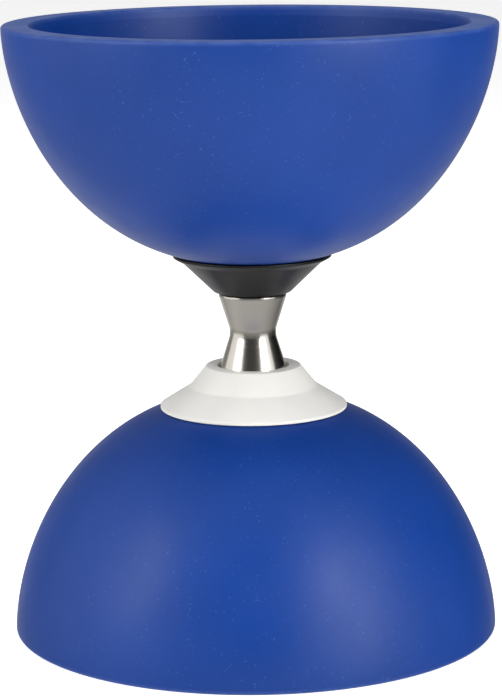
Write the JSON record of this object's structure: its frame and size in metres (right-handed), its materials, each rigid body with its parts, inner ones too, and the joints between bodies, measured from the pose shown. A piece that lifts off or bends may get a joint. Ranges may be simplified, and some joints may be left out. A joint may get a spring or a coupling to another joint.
{
  "type": "diabolo",
  "caption": "Bearing diabolo: two blue rubber cups bolted back to back through black and white hubs, with a steel hourglass bobbin that spins freely.",
  "frame": {"origin": "the middle of the object, on the axle and halfway between the two cup rims", "axes": "+Z along the axle towards the cup with the black hub; X and Y lie across the axle, and the object is round about Z, so their directions are free"},
  "size_m": [0.125, 0.125, 0.1564],
  "materials": {
    "blue_rubber": "satin moulded rubber",
    "black_plastic": "satin moulded plastic",
    "white_plastic": "satin moulded plastic",
    "polished_steel": "turned and polished steel",
    "zinc_plated_steel": "zinc-plated steel",
    "bearing_steel": "ground bearing steel",
    "brown_nylon": "moulded nylon",
    "blue_nylon": "nylon insert"
  },
  "bodies": {
    "cup_assembly": {"bearing_spacer_tube": "zinc_plated_steel", "lock_nut": "zinc_plated_steel", "lock_nut_insert": "blue_nylon", "lower_bearing_inner_ring": "bearing_steel", "lower_clamp_plate": "zinc_plated_steel", "lower_cup": "blue_rubber", "lower_hub": "white_plastic", "lower_shim_ring": "zinc_plated_steel", "lower_washer": "zinc_plated_steel", "through_bolt": "zinc_plated_steel", "upper_bearing_inner_ring": "bearing_steel", "upper_clamp_plate": "zinc_plated_steel", "upper_cup": "blue_rubber", "upper_hub": "black_plastic", "upper_shim_ring": "zinc_plated_steel", "upper_washer": "zinc_plated_steel"},
    "bobbin": {"axle_bobbin": "polished_steel", "upper_bearing_outer_ring": "bearing_steel", "upper_bearing_inner_shield": "bearing_steel", "upper_bearing_outer_shield": "bearing_steel", "lower_bearing_outer_ring": "bearing_steel", "lower_bearing_inner_shield": "bearing_steel", "lower_bearing_outer_shield": "bearing_steel"},
    "upper_ball_set": {"upper_bearing_cage": "brown_nylon", "upper_bearing_ball_1": "bearing_steel", "upper_bearing_ball_2": "bearing_steel", "upper_bearing_ball_3": "bearing_steel", "upper_bearing_ball_4": "bearing_steel", "upper_bearing_ball_5": "bearing_steel", "upper_bearing_ball_6": "bearing_steel", "upper_bearing_ball_7": "bearing_steel"},
    "lower_ball_set": {"lower_bearing_cage": "brown_nylon", "lower_bearing_ball_1": "bearing_steel", "lower_bearing_ball_2": "bearing_steel", "lower_bearing_ball_3": "bearing_steel", "lower_bearing_ball_4": "bearing_steel", "lower_bearing_ball_5": "bearing_steel", "lower_bearing_ball_6": "bearing_steel", "lower_bearing_ball_7": "bearing_steel"}
  },
  "joints": [
    {"name": "bobbin_spin", "type": "hinge", "parent": "cup_assembly", "child": "bobbin", "pos_m": [0, 0, 0], "axis": [0, 0, 1], "continuous": true},
    {"name": "upper_ball_set_spin", "type": "hinge", "parent": "cup_assembly", "child": "upper_ball_set", "pos_m": [0, 0, 0.0071], "axis": [0, 0, 1], "continuous": true},
    {"name": "lower_ball_set_spin", "type": "hinge", "parent": "cup_assembly", "child": "lower_ball_set", "pos_m": [0, 0, -0.0092], "axis": [0, 0, 1], "continuous": true}
  ],
  "couplings": [
    {"joint": "upper_ball_set_spin", "follows": "bobbin_spin", "ratio": 0.5889},
    {"joint": "lower_ball_set_spin", "follows": "bobbin_spin", "ratio": 0.5889}
  ]
}
